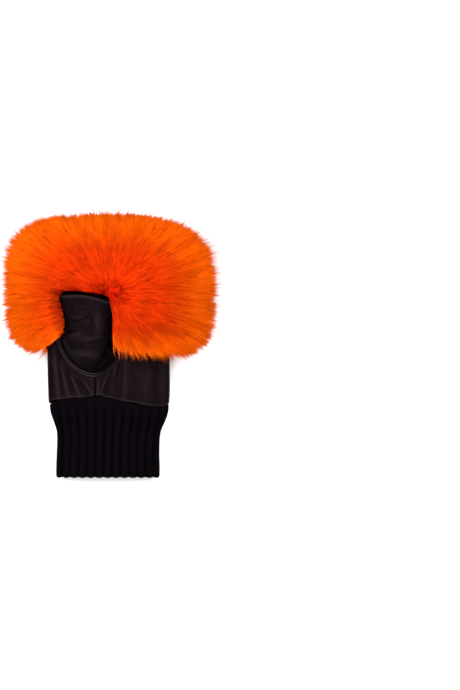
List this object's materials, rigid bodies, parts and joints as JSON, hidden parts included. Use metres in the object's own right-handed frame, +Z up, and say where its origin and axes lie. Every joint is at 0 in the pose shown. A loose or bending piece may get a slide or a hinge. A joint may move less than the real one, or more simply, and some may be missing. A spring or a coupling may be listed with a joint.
{
  "type": "fingerless glove",
  "caption": "Left-hand fingerless glove with a ribbed knit cuff, a leather hand and open thumb, and a deep orange faux fur band round the fingers, lying palm up.",
  "frame": {"origin": "middle of the glove's bounding box in X and Y, on the surface that the glove lies on", "axes": "+Y along the glove to the finger end, +Z up out of the palm, +X to the little finger's side"},
  "size_m": [0.1774, 0.227, 0.0738],
  "materials": {
    "knit": "matt black rib knit",
    "leather": "soft black leather with a low sheen",
    "fur": "long orange pile"
  },
  "bodies": {
    "root": {"knit_cuff": "knit", "leather_body": "leather", "thumb_stub": "leather", "fur_trim": "fur"}
  },
  "joints": []
}
